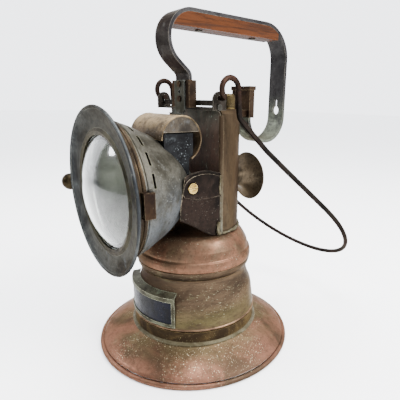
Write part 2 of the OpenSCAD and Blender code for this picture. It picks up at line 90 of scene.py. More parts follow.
def flat_sheet(name, corners, finish, grey, rough):
    """A four-cornered sheet of the studio, with one plain grey finish."""
    mesh = bpy.data.meshes.new(name)
    mesh.from_pydata(corners, [], [(0, 1, 2, 3)])
    sheet = bpy.data.objects.new(name, mesh)
    bpy.context.scene.collection.objects.link(sheet)
    coat = bpy.data.materials.new(finish)
    coat.use_nodes = True
    shader = coat.node_tree.nodes["Principled BSDF"]
    shader.inputs["Base Color"].default_value = (grey, grey, grey, 1)
    shader.inputs["Roughness"].default_value = rough
    mesh.materials.append(coat)
    return sheet


dark_flag = flat_sheet(
    "dark_flag", [(-1.3, -1.0, 0.02), (0.8, -1.4, 0.02), (0.8, -1.4, 2.2), (-1.3, -1.0, 2.2)],
    "black_cloth", 0.02, 0.9,
)
dark_flag.visible_camera = False
pale_table = flat_sheet(
    "pale_table", [(-6, -6, 0), (6, -6, 0), (6, 6, 0), (-6, 6, 0)], "white_paint", 0.9, 0.65,
)


# ---- The foot ----
# A flared skirt of thin copper sheet, spun on a lathe, with its edge rolled
# round an iron wire. Old lacquer leaves it brown with olive and gold zones
# and pale yellow specks.
def tone(r, g, b):
    """A colour as a painter reads it, 0 to 255, turned into the light it reflects."""
    return tuple(
        c / 255 / 12.92 if c <= 10 else ((c / 255 + 0.055) / 1.055) ** 2.4 for c in (r, g, b)
    ) + (1,)


class Recipe:
    """A material under construction: noise, ramps and mixes that feed one shader."""

    def __init__(self, name):
        self.material = bpy.data.materials.new(name)
        self.material.use_nodes = True
        self.tree = self.material.node_tree
        self.shader = self.tree.nodes["Principled BSDF"]
        self.place = self.tree.nodes.new("ShaderNodeTexCoord").outputs["Object"]

    def node(self, kind, **settings):
        made = self.tree.nodes.new(kind)
        for key, value in settings.items():
            setattr(made, key, value)
        return made

    def join(self, a, b):
        self.tree.links.new(a, b)

    def stretched(self, x, y, z):
        made = self.node("ShaderNodeMapping")
        made.inputs["Scale"].default_value = (x, y, z)
        self.join(self.place, made.inputs["Vector"])
        return made.outputs["Vector"]

    def cloud(self, scale, detail=4, rough=0.6, place=None, warp=0.0):
        made = self.node("ShaderNodeTexNoise")
        made.inputs["Scale"].default_value = scale
        made.inputs["Detail"].default_value = detail
        made.inputs["Roughness"].default_value = rough
        made.inputs["Distortion"].default_value = warp
        self.join(place or self.place, made.inputs["Vector"])
        return made.outputs["Fac"]

    def steps(self, value, low, high, a=0.0, b=1.0):
        made = self.node("ShaderNodeMapRange", interpolation_type="SMOOTHSTEP")
        for key, number in (("From Min", low), ("From Max", high), ("To Min", a), ("To Max", b)):
            made.inputs[key].default_value = number
        self.join(value, made.inputs["Value"])
        return made.outputs["Result"]

    def times(self, a, b):
        made = self.node("ShaderNodeMath", operation="MULTIPLY")
        for i, part in enumerate((a, b)):
            if isinstance(part, (int, float)):
                made.inputs[i].default_value = part
            else:
                self.join(part, made.inputs[i])
        return made.outputs[0]

    def plus(self, a, b):
        made = self.node("ShaderNodeMath", operation="ADD")
        self.join(a, made.inputs[0])
        self.join(b, made.inputs[1])
        return made.outputs[0]

    def over(self, under, colour, amount):
        made = self.node("ShaderNodeMix", data_type="RGBA")
        if isinstance(amount, (int, float)):
            made.inputs["Factor"].default_value = amount
        else:
            self.join(amount, made.inputs["Factor"])
        for socket, part in ((made.inputs[6], under), (made.inputs[7], colour)):
            if isinstance(part, tuple):
                socket.default_value = part
            else:
                self.join(part, socket)
        return made.outputs[2]

    def along(self, axis, low, high):
        split = self.node("ShaderNodeSeparateXYZ")
        self.join(self.place, split.inputs[0])
        return self.steps(split.outputs[axis], low, high)

    def edges(self, width=0.0006):
        """Strong where the surface turns sharply within the width, as a rubbed edge does."""
        rounded = self.node("ShaderNodeBevel", samples=6)
        rounded.inputs["Radius"].default_value = width
        same = self.node("ShaderNodeVectorMath", operation="DOT_PRODUCT")
        self.join(rounded.outputs["Normal"], same.inputs[0])
        self.join(self.node("ShaderNodeNewGeometry").outputs["Normal"], same.inputs[1])
        return self.steps(same.outputs["Value"], 0.995, 0.9)

    def bumps(self, height, depth, strength=0.5):
        made = self.node("ShaderNodeBump")
        made.inputs["Distance"].default_value = depth
        made.inputs["Strength"].default_value = strength
        self.join(height, made.inputs["Height"])
        self.join(made.outputs["Normal"], self.shader.inputs["Normal"])

    def finish(self, colour, rough, metal):
        self.join(colour, self.shader.inputs["Base Color"])
        self.join(rough, self.shader.inputs["Roughness"])
        if isinstance(metal, (int, float)):
            self.shader.inputs["Metallic"].default_value = metal
        else:
            self.join(metal, self.shader.inputs["Metallic"])
        return self.material


def aged_metal(name, body, shade, bloom, speck, metal=0.75, rough=(0.34, 0.62), patch=28,
               specks=0.5, worn=None, pits=0.00025, zone=None, drawn=None):
    """Old sheet metal: two broad tones, a cloudy bloom, pale specks and worn edges.
    zone is (axis, low, high, colour, amount): a second colour that grows along the piece.
    drawn stretches the pattern along the axes where its number is small."""
    r = Recipe(name)
    height = r.along(*zone[:3]) if zone else None
    if drawn:
        r.place = r.stretched(*drawn)
    broad = r.cloud(patch, 6, 0.62, warp=0.6)
    fine = r.cloud(patch * 9, 8, 0.7)
    colour = r.over(body, shade, r.steps(broad, 0.42, 0.62))
    if zone:
        mask = r.times(height, r.steps(r.cloud(patch * 1.7, 7, 0.7), 0.36, 0.56))
        colour = r.over(colour, zone[3], r.times(mask, zone[4]))
    cloudy = r.steps(r.cloud(patch * 3.1, 9, 0.74, warp=0.4), 0.55, 0.72)
    colour = r.over(colour, bloom, r.times(cloudy, 0.7))
    colour = r.over(colour, shade, r.times(r.steps(fine, 0.5, 0.7), 0.45))
    grit = r.cloud(430, 7, 0.78)
    colour = r.over(colour, shade, r.times(r.steps(grit, 0.5, 0.6), 0.5))
    dots = r.steps(r.cloud(1050, 3, 0.5), 0.68 - 0.06 * specks, 0.74 - 0.06 * specks)
    spread = r.steps(r.cloud(patch * 1.4, 5, 0.6, warp=0.3), 0.4, 0.66)
    dust = r.times(dots, spread)
    colour = r.over(colour, speck, r.times(dust, 0.85))
    if worn:
        colour = r.over(colour, worn, r.times(r.edges(), r.steps(fine, 0.35, 0.6)))
    matt = r.steps(r.plus(r.times(fine, 0.5), r.times(broad, 0.5)), 0.35, 0.65, rough[0], rough[1])
    r.bumps(r.plus(r.times(fine, 0.7), r.plus(r.times(dust, 0.5), r.times(broad, 0.3))), pits, 0.6)
    shine = r.steps(r.plus(cloudy, dust), 0.0, 1.0, metal, metal * 0.6)
    r.shader.inputs["Specular Tint"].default_value = (0.45, 0.42, 0.38, 1)
    r.shader.inputs["Specular IOR Level"].default_value = 0.15
    return r.finish(colour, matt, shine)


def smooth_line(points, steps=6):
    """A smooth line through a few points, with round numbers between them."""
    out = []
    for i in range(len(points) - 1):
        a = points[max(i - 1, 0)]
        b, c = points[i], points[i + 1]
        d = points[min(i + 2, len(points) - 1)]
        for k in range(steps):
            t = k / steps
            out.append(tuple(
                0.5 * (
                    2 * q + (s - p) * t + (2 * p - 5 * q + 4 * s - u) * t * t
                    + (3 * q - p - 3 * s + u) * t ** 3
                )
                for p, q, s, u in zip(a, b, c, d)
            ))
    out.append(tuple(points[-1]))
    return out


def add_piece(name, verts, faces, body, material, replaced=(), sharp=40, slot=None):
    """One made mesh, turned to face outwards, that rides on a body and may replace plain pieces."""
    mesh = bpy.data.meshes.new(name)
    mesh.from_pydata(verts, [], faces)
    mesh.validate()
    mesh.update()
    solid = bmesh.new()
    solid.from_mesh(mesh)
    if solid.calc_volume(signed=True) < 0:
        mesh.flip_normals()
    solid.free()
    mesh.polygons.foreach_set("use_smooth", [True] * len(mesh.polygons))
    mesh.set_sharp_from_angle(angle=math.radians(sharp))
    mesh.materials.append(material)
    piece = bpy.data.objects.new(name, mesh)
    bpy.context.scene.collection.objects.link(piece)
    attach(piece, body)
    if replaced:
        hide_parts(*replaced)
    return piece


def upright_axis(r, h, a):
    """Where a radius, a height and an angle, in mm, lie about the lamp's upright axis."""
    return (r * math.cos(a) / 1000, r * math.sin(a) / 1000, h / 1000)


def turned(section, placing=upright_axis, around=160, unround=0.0, seed=0.0):
    """Vertices and faces of a closed section, in mm of radius and height, spun round an axis."""
    verts, faces = [], []
    n = len(section)
    for k in range(around):
        a = 2 * math.pi * k / around
        for r, h in section:
            lump = unround * noise.noise(Vector((2.2 * math.cos(a), 2.2 * math.sin(a), h / 16 + seed)))
            verts.append(placing(max(r + lump, 0.001), h, a))
    for k in range(around):
        m = (k + 1) % around
        for i in range(n):
            j = (i + 1) % n
            faces.append((k * n + i, m * n + i, m * n + j, k * n + j))
    return verts, faces


def sheet_section(outer, thick):
    """Closed section of a sheet with its good face on the outline and its thickness to the left."""
    back = []
    for i, (x, y) in enumerate(outer):
        (ax, ay), (bx, by) = outer[max(i - 1, 0)], outer[min(i + 1, len(outer) - 1)]
        length = math.hypot(bx - ax, by - ay)
        back.append((x - thick * (by - ay) / length, y + thick * (bx - ax) / length))
    return outer + back[::-1]


def round_section(r, h, girth, count):
    """Round section of a rolled edge, in mm, cut off flat where it meets the table."""
    turns = (2 * math.pi * k / count for k in range(count))
    return [(r + girth * math.cos(t), max(h + girth * math.sin(t), 0.0)) for t in turns]


foot_copper = aged_metal(
    "foot_copper", tone(98, 67, 53), tone(56, 43, 33), tone(94, 83, 58), tone(170, 157, 127),
    metal=0.78, rough=(0.34, 0.56), patch=19, specks=0.95, worn=tone(126, 91, 73),
    zone=(2, 0.006, 0.018, tone(84, 74, 50), 0.6),
)
foot_line = smooth_line([
    (76.9, 4.15), (75.2, 5.9), (73, 7.3), (71, 8.35), (66, 10.6), (60, 12.9), (55, 14.8),
    (52.3, 16.1), (50.75, 17.3)
])
add_piece("foot_skirt_sheet", *turned(sheet_section(foot_line, 1.0), unround=0.22), "base", foot_copper,
          ["foot_skirt"], slot="foot_copper")
foot_roll = round_section(78, 1.8, 1.98, 28)
add_piece("foot_rolled_edge", *turned(foot_roll, unround=0.05), "base", foot_copper, ["foot_wire"],
          slot="foot_copper")


# ---- The carbide pot ----
# A deep cup of dark brass sheet that stands in the foot. A bead of tin
# solder, run by hand, holds it there, and a tin basket inside holds the charge.
def bevelled(node, width, segments=2):
    worked = nodes[node].modifiers.new("softened_edges", "BEVEL")
    worked.width = width
    worked.segments = segments
    worked.limit_method = "ANGLE"
    worked.angle_limit = math.radians(38)


def dress(material, *names):
    for name in names:
        mesh = nodes[name].data
        if mesh.materials:
            for i in range(len(mesh.materials)):
                mesh.materials[i] = material
        else:
            mesh.materials.append(material)


pot_brass = aged_metal(
    "pot_brass", tone(78, 64, 40), tone(35, 27, 18), tone(95, 82, 56), tone(136, 128, 91),
    metal=0.7, rough=(0.36, 0.6), patch=24, specks=0.3, worn=tone(107, 92, 60),
)
dress(pot_brass, "pot")
tin_solder = aged_metal(
    "tin_solder", tone(69, 64, 49), tone(50, 45, 31), tone(94, 92, 78), tone(109, 109, 99),
    metal=0.4, rough=(0.42, 0.66), patch=60, specks=0.8, pits=0.0004,
)
pot_bead = [(50.42, 17.3), (52.5, 17.05), (52.3, 17.75), (51.6, 18.4), (50.9, 18.8), (50.42, 19.1)]
add_piece("foot_solder_bead", *turned(pot_bead, unround=0.35, seed=4), "base", tin_solder,
          ["foot_solder"], slot="solder")
dull_tin = aged_metal(
    "dull_tin", tone(97, 95, 89), tone(68, 65, 59), tone(116, 113, 106), tone(146, 143, 134),
    metal=0.6, rough=(0.4, 0.65), patch=40, specks=0.3,
)
dress(dull_tin, "carbide_basket")


# ---- The gas bell ----
# Copper sheet spun into a bell that drops over the pot's neck, with a wired
# bottom edge painted a paler copper as a highlight. It has browned, with
# pale specks. A rubber washer seals it.
bell_copper = aged_metal(
    "bell_copper", tone(67, 54, 41), tone(39, 31, 24), tone(77, 73, 51), tone(122, 118, 93),
    metal=0.78, rough=(0.32, 0.52), patch=22, specks=0.8, worn=tone(96, 79, 55),
    zone=(2, 0.05, 0.034, tone(73, 67, 41), 0.6), drawn=(0.5, 0.5, 1.6),
)
bell_line = smooth_line([
    (50.1, 29.4), (49.9, 31.5), (49.6, 35), (49.1, 39), (48.6, 43), (48, 47), (47, 51), (45.6, 54),
    (44.4, 57), (43.5, 60.5), (43.15, 64), (43.35, 66.1)
], 4)
add_piece("bell_sheet", *turned(sheet_section(bell_line, 1.0), unround=0.18, seed=9), "lamp",
          bell_copper, ["bell"], slot="bell_copper")
bell_bead = round_section(49.8, 28.9, 1.04, 16)
# The wired edge is coloured a paler copper than the bell: a painted highlight along the bead.
rim_copper_painted_highlight = aged_metal(
    "rim_copper_painted_highlight", tone(107, 84, 64), tone(68, 53, 41), tone(111, 101, 78), tone(158, 149, 119),
    metal=0.8, rough=(0.3, 0.5), patch=40, specks=0.4, worn=tone(139, 112, 86),
)
add_piece("bell_wired_edge", *turned(bell_bead), "lamp", rim_copper_painted_highlight, slot="bell_copper")
old_rubber = aged_metal(
    "old_rubber", tone(32, 31, 29), tone(22, 21, 20), tone(49, 47, 44), tone(68, 65, 62),
    metal=0.0, rough=(0.7, 0.9), patch=60, specks=0.2,
)
dress(old_rubber, "gasket")


# ---- The dome ----
# A neck of the bell's own copper, and soldered on it a second spinning with a
# fat bead and a groove. Its copper is the warmest, pinkest metal of the lamp,
# and it carries the tank.
dome_copper = aged_metal(
    "dome_copper", tone(93, 64, 49), tone(53, 39, 29), tone(89, 78, 57), tone(135, 129, 106),
    metal=0.78, rough=(0.3, 0.5), patch=24, specks=0.6, worn=tone(125, 96, 75),
    zone=(2, 0.07, 0.082, tone(69, 56, 43), 0.7),
)
neck_line = smooth_line([
    (43.7, 66.5), (44.5, 67.7), (45.2, 69), (45.75, 70.8), (46, 72.5), (45.6, 73.1)
], 4)
add_piece("dome_neck", *turned(sheet_section(neck_line, 1.0), seed=12), "lamp", bell_copper,
          slot="bell_copper")
dome_line = smooth_line([
    (45.3, 73.1), (46.1, 73.5), (46.35, 74.3), (46.45, 75.8), (46.3, 77.6), (45.9, 79.2),
    (45.6, 80.1), (44.8, 80.7), (44.3, 81.4), (44.2, 82.4), (44, 83.6), (43.2, 86.4), (42.4, 88),
    (41.1, 90.4), (39.4, 93), (37.4, 95), (34.6, 96.35), (30, 96.95), (16, 97), (1.2, 97)
], 5)
add_piece("dome_sheet", *turned(sheet_section(dome_line, 1.0), unround=0.16, seed=15), "lamp", dome_copper,
          ["dome"], slot="dome_copper")


# ---- The nameplate ----
# A blank brass plate curved to the bell, its field dark blue paint, scuffed,
# inside a worn rim. It is soldered on, and a shelf of solder fills the gap
# between its top edge and the bell.
plate_rim = aged_metal(
    "plate_rim", tone(71, 72, 58), tone(40, 38, 29), tone(112, 117, 98), tone(146, 145, 126),
    metal=0.5, rough=(0.36, 0.56), patch=50, specks=0.3, worn=tone(146, 146, 126),
)
dress(plate_rim, "nameplate_frame")
plate_blue = aged_metal(
    "plate_blue", tone(7, 10, 22), tone(7, 8, 11), tone(22, 25, 35), tone(48, 49, 48),
    metal=0.15, rough=(0.3, 0.55), patch=60, specks=0.4,
)
dress(plate_blue, "nameplate_panel")


def turned_part(section, middle, spread, around=60):
    """Vertices and faces of a section, in mm, spun through spread degrees either side of middle."""
    n = len(section)
    verts = [
        upright_axis(
            r + 0.25 * noise.noise(Vector((k * 0.35, i, 3))), h,
            math.radians(middle - spread + 2 * spread * k / around)
        )
        for k in range(around + 1) for i, (r, h) in enumerate(section)
    ]
    faces = [
        (k * n + i, (k + 1) * n + i, (k + 1) * n + (i + 1) % n, k * n + (i + 1) % n)
        for k in range(around) for i in range(n)
    ]
    return verts, faces + [tuple(range(n)), tuple(around * n + i for i in range(n))[::-1]]


plate_solder = aged_metal(
    "plate_solder", tone(63, 62, 49), tone(37, 34, 27), tone(99, 107, 90), tone(155, 158, 138),
    metal=0.35, rough=(0.45, 0.65), patch=50, specks=0.5, worn=tone(129, 133, 114), pits=0.0004,
)
shelf = [
    (51.3, 54.3), (51.1, 54.95), (49.9, 55.25), (47.2, 55.9), (44.75, 56.9), (45.3, 54.9), (50.0, 53.7)
]
front, plate_spread = -90, 38.6
add_piece("nameplate_solder", *turned_part(shelf, front, plate_spread), "lamp", plate_solder,
          slot="solder")


# ---- The water tank ----
# A D-shaped can of olive-brown brass with its flat side to the front. Its two
# upright seams and its foot are run with tin solder, which has gone pale.
def swept(points, radius, ring=12, lumps=0.0, seed=0.0, flat=1.0):
    """Vertices and faces of a round rod, in mm, along a line; flat below 1 presses it across."""
    path = [Vector(p) for p in points]
    verts, faces = [], []
    side = None
    for i, p in enumerate(path):
        ahead = (path[min(i + 1, len(path) - 1)] - path[max(i - 1, 0)]).normalized()
        if side is None:
            side = ahead.orthogonal().normalized()
        side = (side - ahead * side.dot(ahead)).normalized()
        across = ahead.cross(side)
        for k in range(ring):
            a = 2 * math.pi * k / ring
            thick = radius * (1 + lumps * noise.noise(p * 0.35 + Vector((seed, k * 0.3, 0))))
            spot = p + side * (thick * math.cos(a)) + across * (thick * flat * math.sin(a))
            verts.append(tuple(spot / 1000))
    for i in range(len(path) - 1):
        for k in range(ring):
            m = (k + 1) % ring
            faces.append((i * ring + k, i * ring + m, (i + 1) * ring + m, (i + 1) * ring + k))
    faces.append(tuple(range(ring))[::-1])
    faces.append(tuple((len(path) - 1) * ring + k for k in range(ring)))
    return verts, faces


def even(points, gap):
    """The same line with points no more than gap apart."""
    out = [Vector(points[0])]
    for a, b in zip(points, points[1:]):
        a, b = Vector(a), Vector(b)
        n = max(1, math.ceil((b - a).length / gap))
        out += [a.lerp(b, (k + 1) / n) for k in range(n)]
    return out


def softly(*names):
    for name in names:
        mesh = nodes[name].data
        mesh.polygons.foreach_set("use_smooth", [True] * len(mesh.polygons))
        mesh.set_sharp_from_angle(angle=math.radians(35))


tank_brass = aged_metal(
    "tank_brass", tone(53, 43, 32), tone(30, 24, 18), tone(60, 52, 38), tone(84, 78, 60),
    metal=0.85, rough=(0.36, 0.58), patch=22, specks=0.3, worn=tone(80, 70, 50),
    zone=(2, 0.13, 0.1, tone(60, 54, 42), 0.5), drawn=(1, 1, 0.3),
)
softly("tank")
dress(tank_brass, "tank")
seam_metal = aged_metal(
    "seam_metal", tone(57, 48, 36), tone(40, 31, 22), tone(81, 76, 65), tone(94, 93, 83),
    metal=0.55, rough=(0.38, 0.6), patch=40, specks=0.4, worn=tone(86, 78, 60),
    zone=(2, 0.15, 0.1, tone(85, 85, 74), 0.7), drawn=(1, 1, 0.4),
)
seam_x, seam_y, seam_foot, seam_top = 33.0, 1.6, 97.4, 183
for side, mark in ((1, "right"), (-1, "left")):
    seam = even([(side * seam_x, seam_y, seam_foot), (side * seam_x, seam_y, seam_top)], 1.1)
    add_piece("tank_seam_" + mark, *swept(seam, 1.7, 10, 0.22, 3 + side, 0.35), "lamp", seam_metal,
              slot="solder")
tank_y, run_r, run_z = 3, 33.3, 97.7
foot_run = [
    (run_r * math.cos(a), tank_y + run_r * math.sin(a), run_z)
    for a in (math.pi * k / 110 for k in range(111))
]
add_piece("tank_foot_solder", *swept(foot_run, 1.15, 10, 0.9, 8), "lamp", tin_solder, slot="solder")


# ---- The tank's front ----
# A flat sheet of iron, oxidised to a dark reddish brown, that closes the
# hollow between the two side wings.
front_oxide = aged_metal(
    "front_oxide", tone(67, 51, 43), tone(39, 37, 32), tone(79, 74, 64), tone(109, 118, 106),
    metal=0.35, rough=(0.42, 0.66), patch=26, specks=0.25, worn=tone(100, 98, 85), drawn=(1, 1, 0.4),
    zone=(2, 0.165, 0.19, tone(65, 70, 61), 0.6),
)
dress(front_oxide, "front_plate")
bevelled("front_plate", 0.0002)


# ---- The cradle ----
# Two wings of tinned sheet, now dark brown with pale rubbed edges, hold the
# head by a bright brass screw on each side, over a round spacer. Their lower
# and upper edges are rolled.
wing_tin = aged_metal(
    "wing_tin", tone(29, 23, 20), tone(15, 13, 12), tone(44, 38, 33), tone(84, 80, 72),
    metal=0.92, rough=(0.36, 0.6), patch=38, specks=0.35, worn=tone(128, 118, 100),
)
dress(wing_tin, "wing_right", "wing_left")
bright_brass = aged_metal(
    "bright_brass", tone(160, 134, 72), tone(104, 82, 40), tone(186, 166, 110), tone(210, 196, 150),
    metal=0.95, rough=(0.2, 0.38), patch=120, specks=0.2, worn=tone(226, 204, 138),
)
dress(bright_brass, "wing_screws")
bevelled("wing_screws", 0.0003, 3)
wing_x = 32.6
curl_line = smooth_line([
    (-33.2, 114.2), (-29, 111.9), (-22, 108), (-15, 103.4), (-7.5, 98.8), (-2.2, 97.7)
], 8)
lip_line = smooth_line([
    (1.6, 143.1), (-0.5, 143.5), (-8, 145.6), (-15, 146.2), (-22, 145.4), (-28.6, 143.1)
], 8)
for side, mark in ((1, "right"), (-1, "left")):
    for edge, line, girth in (("curl", curl_line, 0.85), ("lip", lip_line, 0.6)):
        run = [(side * wing_x, y, z) for y, z in line]
        add_piece("wing_%s_%s" % (edge, mark), *swept(run, girth, 10, 0.2, side), "lamp", wing_tin,
                  slot="wing_steel")


# Across the top of each wing a second strip of sheet is soldered flat on, with
# its lower edge folded under: it takes the screw's load.
strip_near, strip_far, fold_x = 33.02, 33.75, 33.5
strip_edge = smooth_line([(1.4, 127.2), (-9, 126.6), (-20, 127.2), (-30.2, 129.4)], 5)
strip_rim = strip_edge + smooth_line([(-31.2, 132), (-29.6, 138.4), (-26.4, 141.6)], 4) + smooth_line([
    (-22, 143.6), (-15, 144.5), (-8, 143.9), (-0.5, 141.9), (1.4, 141.5)
], 5)


def strip_plate(side):
    """Vertices and faces of the strip at one side: its rim, near and far, and its edge."""
    middle = len(strip_rim)
    verts = [
        (side * x / 1000, y / 1000, z / 1000) for x in (strip_near, strip_far) for y, z in strip_rim
    ]
    faces = [tuple(range(middle)), tuple(range(middle, 2 * middle))[::-1]]
    faces += [(i, i + middle, (i + 1) % middle + middle, (i + 1) % middle) for i in range(middle)]
    return verts, faces


foot_blob = ((33.6, 0.6, 97.9), (33.7, -1.2, 99.6), (33.2, 0.2, 107))
top_tack = ((33.6, 0.6, 128), (33.7, 0.3, 133), (33.4, 0.7, 142))
for side, mark in ((1, "right"), (-1, "left")):
    strip = add_piece("wing_strip_" + mark, *strip_plate(side), "lamp", wing_tin, slot="wing_steel")
    worked = strip.modifiers.new("softened_edges", "BEVEL")
    worked.width = 0.0002
    for end, line, girth, ring, lumps, seed in (
        ("foot", foot_blob, 1.35, 12, 0.8, 20 + side), ("top", top_tack, 0.8, 10, 0.9, 30 + side)
    ):
        run = even([(side * x, y, z) for x, y, z in line], 0.8)
        add_piece("wing_%s_solder_%s" % (end, mark), *swept(run, girth, ring, lumps, seed), "lamp",
                  tin_solder, slot="solder")
    fold = [(side * fold_x, y, z) for y, z in strip_edge]
    add_piece("wing_fold_" + mark, *swept(fold, 0.55, 10, 0.2, side), "lamp", wing_tin, slot="wing_steel")


# ---- The head ----
# A round-backed hood of zinc sheet, spun, with a row of slots cut behind its
# rim. Heat has left it grey and tan, chalky white and blue in patches. In it
# are a dulled silvered bowl and a brass pipe with a steatite burner.
zinc = aged_metal(
    "zinc", tone(65, 63, 56), tone(31, 29, 23), tone(85, 86, 85), tone(111, 113, 109),
    metal=0.5, rough=(0.4, 0.66), patch=26, specks=0.6, worn=tone(98, 95, 79), pits=0.0004,
    zone=(2, 0.15, 0.115, tone(74, 79, 84), 0.6),
)
softly("housing")
dress(zinc, "housing", "head_bosses")
dulled_silver = aged_metal(
    "dulled_silver", tone(122, 122, 116), tone(78, 77, 72), tone(140, 140, 134), tone(72, 68, 56),
    metal=0.85, rough=(0.4, 0.55), patch=34, specks=0.3, pits=0.00006,
)


head_height = 132


def head_axis(r, h, a):
    """Where a radius, a reach to the front and an angle lie about the head's level axis."""
    return (r * math.cos(a) / 1000, -h / 1000, (head_height + r * math.sin(a)) / 1000)


bowl_back, bowl_curve, bowl_rim = 28, 55.125, (44.8, 60.2)
bowl = [(r, bowl_back + r * r / bowl_curve) for r in [9 + 1.1 * k for k in range(31)]] + [bowl_rim]
add_piece("reflector_bowl", *turned(sheet_section(bowl, 0.5), head_axis), "lamp", dulled_silver,
          ["reflector"], slot="reflector_metal")
pipe_brass = aged_metal(
    "pipe_brass", tone(88, 72, 42), tone(56, 43, 25), tone(96, 89, 65), tone(120, 112, 84),
    metal=0.85, rough=(0.26, 0.46), patch=70, specks=0.3, worn=tone(118, 102, 66),
)
softly("gas_pipe")
dress(pipe_brass, "gas_pipe", "gland", "drip_tube", "filler_neck", "valve_spindle", "needle_rod")
steatite = Recipe("steatite")
grain = steatite.cloud(900, 4, 0.6)
soot = steatite.times(steatite.along(2, 0.139, 0.147), steatite.steps(steatite.cloud(240, 5), 0.4, 0.6))
chalk = steatite.over(tone(226, 218, 202), tone(198, 188, 168), steatite.steps(grain, 0.4, 0.6))
steatite.bumps(grain, 0.00012)
sooted = steatite.over(chalk, tone(60, 54, 48), soot)
dress(steatite.finish(sooted, steatite.steps(grain, 0.2, 0.8, 0.6, 0.85), 0.0), "burner_tip")


# ---- The cowl ----
# A half-round zinc roof over the flue, with rolled hems and darker baffles in
# its ends. Its top is a paler tan, and the duct under it is dark, mottled
# with blue-grey.
cowl_zinc = aged_metal(
    "cowl_zinc", tone(61, 49, 35), tone(29, 23, 15), tone(90, 80, 64), tone(117, 107, 88),
    metal=0.45, rough=(0.42, 0.68), patch=30, specks=0.5, worn=tone(124, 109, 86), pits=0.0004,
    zone=(2, 0.171, 0.18, tone(116, 99, 73), 0.95),
)
softly("cowl")
dress(cowl_zinc, "cowl")
blue_heat = aged_metal(
    "blue_heat", tone(27, 28, 29), tone(14, 14, 15), tone(62, 66, 68), tone(112, 118, 120),
    metal=0.8, rough=(0.42, 0.64), patch=44, specks=0.9,
)
dress(blue_heat, "flue")
baffle_zinc = aged_metal(
    "baffle_zinc", tone(62, 56, 48), tone(34, 31, 28), tone(72, 74, 74), tone(112, 112, 108),
    metal=0.8, rough=(0.42, 0.64), patch=34, specks=0.5, worn=tone(120, 112, 96),
)
dress(baffle_zinc, "cowl_baffles")
hem_x, hem_y, hem_z, hem_r = 22.55, -24, 167.2, 15.45
for side, mark in ((1, "right"), (-1, "left")):
    hem = [
        (side * hem_x, hem_y + hem_r * math.cos(a), hem_z + hem_r * math.sin(a))
        for a in (math.radians(-48 + 4.0 * k) for k in range(56))
    ]
    add_piece("cowl_hem_" + mark, *swept(hem, 0.55, 10, 0.25, side), "lamp", cowl_zinc, slot="zinc_sheet")


# ---- The door ----
# A brass ring with two beads, and a wide dark rim around a thick bulging
# lens, which a greenish bezel holds. It hangs on a pin at the right.
ring_brass = aged_metal(
    "ring_brass", tone(45, 36, 26), tone(25, 20, 15), tone(63, 57, 45), tone(84, 79, 66),
    metal=0.75, rough=(0.3, 0.5), patch=40, specks=0.4, worn=tone(84, 73, 54),
)
softly("door_ring", "lens_hood", "lens_ring")
dress(ring_brass, "door_ring")
hood_metal = aged_metal(
    "hood_metal", tone(60, 62, 62), tone(34, 36, 38), tone(78, 83, 87), tone(115, 116, 110),
    metal=0.92, rough=(0.38, 0.56), patch=30, specks=0.4, worn=tone(117, 118, 110),
)
dress(hood_metal, "lens_hood")
bezel_brass = aged_metal(
    "bezel_brass", tone(42, 40, 31), tone(26, 25, 20), tone(63, 64, 54), tone(84, 86, 76),
    metal=0.65, rough=(0.32, 0.55), patch=60, specks=0.4, worn=tone(79, 76, 61),
)
dress(bezel_brass, "lens_ring")
old_glass = Recipe("old_glass")
smear = old_glass.cloud(60, 7, 0.72, warp=0.5)
old_glass.shader.inputs["Transmission Weight"].default_value = 1.0
old_glass.shader.inputs["IOR"].default_value = 1.45
old_glass.bumps(smear, 0.00004, 0.3)
old_glass.finish(
    old_glass.over(tone(226, 230, 224), tone(206, 208, 200), old_glass.steps(smear, 0.45, 0.7)),
    old_glass.steps(smear, 0.4, 0.75, 0.05, 0.22), 0.0,
)
lens_r, lens_rise, lens_seat, lens_thick = 38.0, 11.0, 71.6, 2
bulge = (lens_r ** 2 + lens_rise ** 2) / (2 * lens_rise)
rise = [
    (r, lens_seat - bulge + lens_rise + math.sqrt(bulge ** 2 - r * r))
    for r in [0.02 + 1.0 * k for k in range(38)]
]
flange = [(lens_r, lens_seat), (41.85, lens_seat), (41.85, 69.7), (37.0, 69.65)]
lens_section = rise + flange + [(r, h - lens_thick) for r, h in rise[-3::-1]]
add_piece("lens_glass", *turned(lens_section, head_axis, 128), "door", old_glass.material, ["lens"],
          slot="lens_glass")
brown_brass = aged_metal(
    "brown_brass", tone(32, 22, 14), tone(18, 11, 8), tone(50, 41, 32), tone(72, 65, 52),
    metal=0.65, rough=(0.34, 0.58), patch=60, specks=0.3, worn=tone(76, 66, 50),
)
dress(brown_brass, "hinge_knuckle", "door_leaf", "latch_ears", "socket_bracket")
bevelled("door_leaf", 0.00025)
bevelled("hinge_knuckle", 0.0002)
dull_steel = aged_metal(
    "dull_steel", tone(46, 45, 41), tone(28, 26, 23), tone(67, 64, 60), tone(83, 79, 74),
    metal=0.8, rough=(0.32, 0.52), patch=110, specks=0.3, worn=tone(83, 81, 76),
)
dress(dull_steel, "hinge_pin", "latch_pin", "knob_screw", "bar_rivets", "grip_rivets")


# ---- The latch ----
# A steel lever on a pin at the left of the ring, turned by a brass ball.
rusty_steel = aged_metal(
    "rusty_steel", tone(23, 18, 14), tone(12, 8, 8), tone(46, 33, 21), tone(64, 54, 41),
    metal=0.55, rough=(0.4, 0.64), patch=70, specks=0.4, worn=tone(52, 45, 38),
)
dress(rusty_steel, "latch_lever")
bevelled("latch_lever", 0.0004)
ball_brass = aged_metal(
    "ball_brass", tone(35, 29, 18), tone(19, 15, 9), tone(54, 49, 32), tone(78, 72, 54),
    metal=0.8, rough=(0.26, 0.44), patch=70, specks=0.4, worn=tone(73, 64, 42),
)
softly("latch_ball")
dress(ball_brass, "latch_ball")


